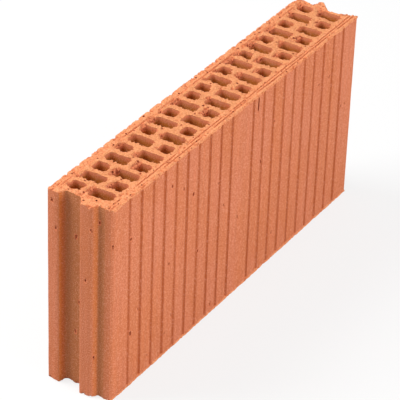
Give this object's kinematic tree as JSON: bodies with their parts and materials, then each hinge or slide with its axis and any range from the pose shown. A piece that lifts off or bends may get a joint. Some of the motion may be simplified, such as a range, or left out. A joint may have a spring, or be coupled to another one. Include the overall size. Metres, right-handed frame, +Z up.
{
  "type": "hollow clay partition block",
  "caption": "Thin hollow fired-clay block for partition walls, with staggered through cells, plaster grooves on both faces and interlocking tongue-and-groove ends.",
  "frame": {"origin": "middle of the bed face that the block stands on", "axes": "+X along the wall from the tongue end to the channel end, +Y through the wall from the front face to the back face, +Z up"},
  "size_m": [0.51, 0.08, 0.238],
  "materials": {
    "fired_clay": "matt"
  },
  "bodies": {
    "root": {"clay_block": "fired_clay"}
  },
  "joints": []
}
